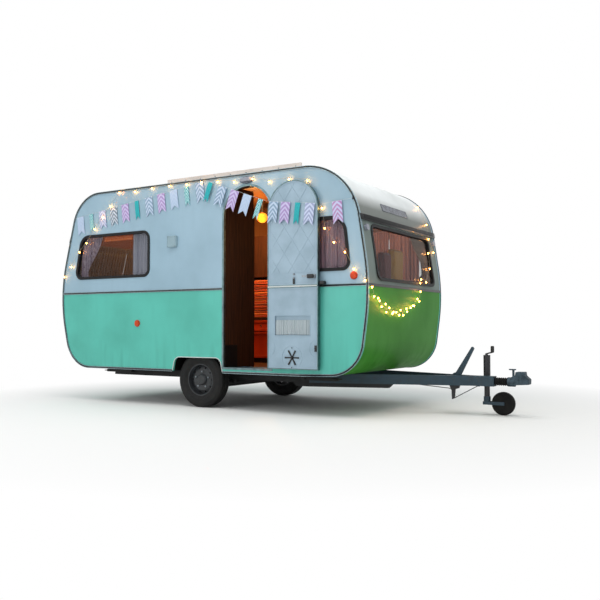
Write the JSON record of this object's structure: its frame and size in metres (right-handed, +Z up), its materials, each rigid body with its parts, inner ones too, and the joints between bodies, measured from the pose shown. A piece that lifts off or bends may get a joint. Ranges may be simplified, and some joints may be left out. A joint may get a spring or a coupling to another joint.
{
  "type": "touring caravan",
  "caption": "Small single-axle touring caravan with rounded ends, a stable door standing open, rubber-set windows, an A-frame drawbar and a jockey wheel.",
  "frame": {"origin": "centre of the tow ball in the coupling head", "axes": "+X forward along the drawbar, +Y to the left side, +Z up; the door is on the -Y side"},
  "size_m": [5.314, 1.926, 2.462],
  "materials": {
    "paint_white": "pale ice-blue gloss coach paint",
    "paint_mint": "mint green gloss coach paint",
    "paint_green": "leaf green gloss coach paint",
    "trim_dark": "dark grey painted rail",
    "rubber": "black window rubber",
    "glass": "clear acrylic pane",
    "aluminium": "brushed aluminium",
    "liner": "moulded pale grey-blue liner",
    "amber": "amber lamp lens",
    "red_lens": "red lamp lens",
    "white_lens": "frosted lamp lens",
    "plastic_grey": "grey plastic cover",
    "chassis_black": "black underseal",
    "drawbar_grey": "slate blue-grey paint",
    "cast": "blue-grey cast coupling",
    "zinc": "dull zinc plate",
    "tyre": "black tyre",
    "rim_paint": "silver grey wheel paint",
    "board_white": "white painted board",
    "roof_plastic": "milky roof light",
    "floor_ply": "varnished ply floor",
    "cabinet_wood": "dark brown veneer",
    "cushion": "orange and red striped cover",
    "blanket": "orange and red striped blankets",
    "curtain": "printed curtain",
    "lampshade": "orange paper shade",
    "gaiter": "black bellows"
  },
  "bodies": {
    "body": {"side_right_upper": "paint_white", "side_left_upper": "paint_white", "front_upper": "paint_white", "rear_upper": "paint_white", "roof": "paint_white", "side_right_lower": "paint_mint", "side_left_lower": "paint_mint", "rear_lower": "paint_mint", "front_lower": "paint_green", "floor": "floor_ply", "window_seals": "rubber", "window_panes": "glass", "body_trim": "trim_dark", "door_frame": "aluminium", "door_hinges": "zinc", "utility_box": "plastic_grey", "side_markers": "amber", "white_lamps": "white_lens", "rear_lamps": "red_lens", "roof_board": "board_white", "hatch_frame": "aluminium", "chassis_frame": "chassis_black", "drawbar": "drawbar_grey", "bellows": "gaiter", "coupling_head": "cast", "brake_lever": "drawbar_grey", "brake_relay": "zinc", "axle": "chassis_black", "jockey_tube": "zinc", "jockey_clamp": "drawbar_grey", "steady_brackets": "chassis_black", "cabinets": "cabinet_wood", "benches": "cabinet_wood", "cushions_front": "cushion", "cushions_rear": "cushion", "cabin_lamp": "lampshade", "curtains_right": "curtain", "curtains_left": "curtain", "curtains_ends": "curtain", "blankets": "blanket"},
    "wheel_right": {"tyre_right": "tyre", "rim_right": "rim_paint"},
    "wheel_left": {"tyre_left": "tyre", "rim_left": "rim_paint"},
    "door_upper": {"door_upper": "liner", "door_upper_edging": "aluminium", "door_handle": "zinc"},
    "door_lower": {"door_lower": "liner", "door_lower_edging": "aluminium", "door_latch": "zinc", "door_vent": "aluminium"},
    "hatch_lid": {"hatch_lid": "roof_plastic"},
    "jockey_leg": {"jockey_leg": "zinc"},
    "jockey_fork": {"jockey_fork": "zinc"},
    "jockey_wheel": {"jockey_wheel": "rubber"},
    "steady_front_right": {"steady_front_right": "chassis_black"},
    "steady_front_left": {"steady_front_left": "chassis_black"},
    "steady_rear_right": {"steady_rear_right": "chassis_black"},
    "steady_rear_left": {"steady_rear_left": "chassis_black"}
  },
  "joints": [
    {"name": "wheel_right_spin", "type": "hinge", "parent": "body", "child": "wheel_right", "pos_m": [-3.15, -0.7905, -0.07], "axis": [0, 1, 0], "continuous": true},
    {"name": "wheel_left_spin", "type": "hinge", "parent": "body", "child": "wheel_left", "pos_m": [-3.15, 0.7905, -0.07], "axis": [0, 1, 0], "continuous": true},
    {"name": "door_upper_hinge", "type": "hinge", "parent": "body", "child": "door_upper", "pos_m": [-2.221, -0.927, 1.34], "axis": [0, 0, -1], "range_deg": [0, 180]},
    {"name": "door_lower_hinge", "type": "hinge", "parent": "body", "child": "door_lower", "pos_m": [-2.221, -0.927, 0.44], "axis": [0, 0, -1], "range_deg": [0, 180]},
    {"name": "hatch_lid_hinge", "type": "hinge", "parent": "body", "child": "hatch_lid", "pos_m": [-3.059, 0, 2.0743], "axis": [0, 1, 0], "range_deg": [0, 50]},
    {"name": "jockey_leg_slide", "type": "slide", "parent": "body", "child": "jockey_leg", "axis": [0, 0, 1], "range_m": [-0.12, 0.05]},
    {"name": "jockey_fork_swivel", "type": "hinge", "parent": "jockey_leg", "child": "jockey_fork", "pos_m": [-0.373, 0.112, -0.22], "axis": [0, 0, 1], "range_deg": [-100, 100]},
    {"name": "jockey_wheel_spin", "type": "hinge", "parent": "jockey_fork", "child": "jockey_wheel", "pos_m": [-0.213, 0.112, -0.248], "axis": [0, 1, 0], "continuous": true},
    {"name": "steady_front_right_hinge", "type": "hinge", "parent": "body", "child": "steady_front_right", "pos_m": [-1.97, -0.68, -0.022], "axis": [0, 1, 0], "range_deg": [0, 55]},
    {"name": "steady_front_left_hinge", "type": "hinge", "parent": "body", "child": "steady_front_left", "pos_m": [-1.97, 0.68, -0.022], "axis": [0, 1, 0], "range_deg": [0, 55]},
    {"name": "steady_rear_right_hinge", "type": "hinge", "parent": "body", "child": "steady_rear_right", "pos_m": [-4.3, -0.68, -0.022], "axis": [0, -1, 0], "range_deg": [0, 55]},
    {"name": "steady_rear_left_hinge", "type": "hinge", "parent": "body", "child": "steady_rear_left", "pos_m": [-4.3, 0.68, -0.022], "axis": [0, -1, 0], "range_deg": [0, 55]}
  ]
}
